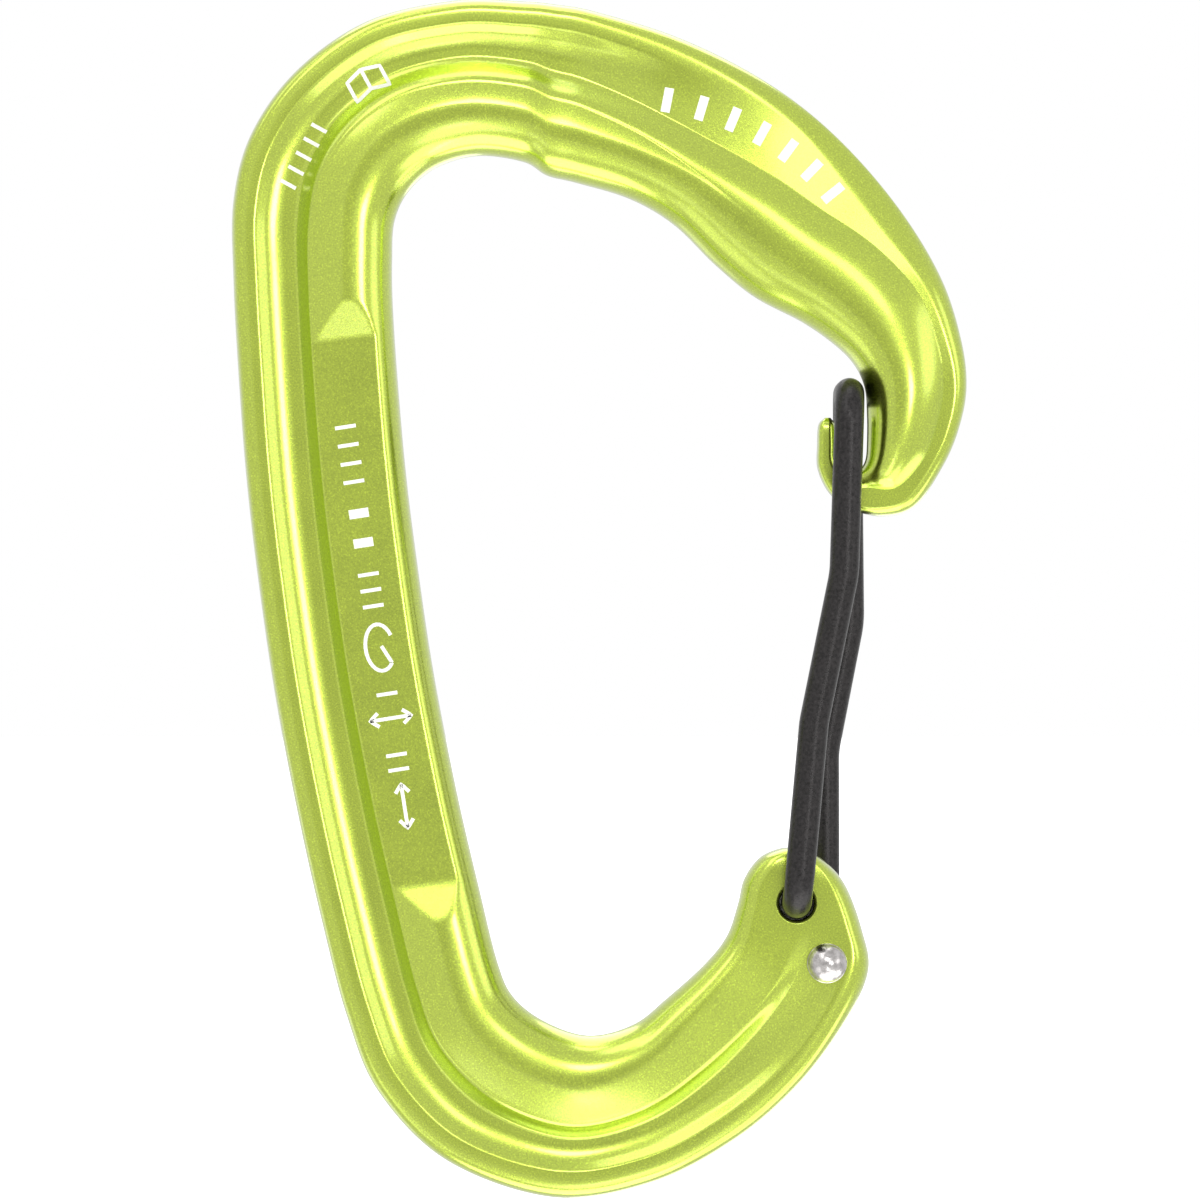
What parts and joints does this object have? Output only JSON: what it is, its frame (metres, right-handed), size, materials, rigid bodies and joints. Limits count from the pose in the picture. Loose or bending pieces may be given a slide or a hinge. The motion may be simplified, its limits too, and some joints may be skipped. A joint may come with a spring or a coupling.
{
  "type": "wire-gate carabiner",
  "caption": "Curved D-shaped snap hook with a ribbed frame, a hooked nose and a sprung gate of one bent wire hinged in two offset bores.",
  "frame": {"origin": "the point of the rope basket's inner edge where the rope bears, in the middle plane of the frame", "axes": "+Z towards the rope basket's end, +X from the spine towards the gate, -Y out of the front face"},
  "size_m": [0.0597, 0.0126, 0.0974],
  "materials": {
    "frame": "satin lime green anodising",
    "wire": "satin black coating on steel",
    "bare_steel": "bright, as upset"
  },
  "bodies": {
    "frame": {"frame": "frame", "rear_leg_end": "bare_steel"},
    "gate_front": {"gate_front_leg": "wire", "front_leg_head": "bare_steel"},
    "gate_rear": {"gate_rear_leg": "wire"}
  },
  "joints": [
    {"name": "gate_pivot", "type": "hinge", "parent": "frame", "child": "gate_front", "pos_m": [0.02585, 0, -0.0607], "axis": [0, -1, 0], "range_deg": [0, 35], "stiffness_Nm_per_rad": 0.41, "springref_deg": -34.95},
    {"name": "gate_twist", "type": "hinge", "parent": "gate_front", "child": "gate_rear", "pos_m": [0.0299, 0, -0.0193], "axis": [0, -1, 0], "range_deg": [-4, 0]}
  ],
  "couplings": [
    {"joint": "gate_twist", "follows": "gate_pivot", "ratio": -0.112}
  ]
}
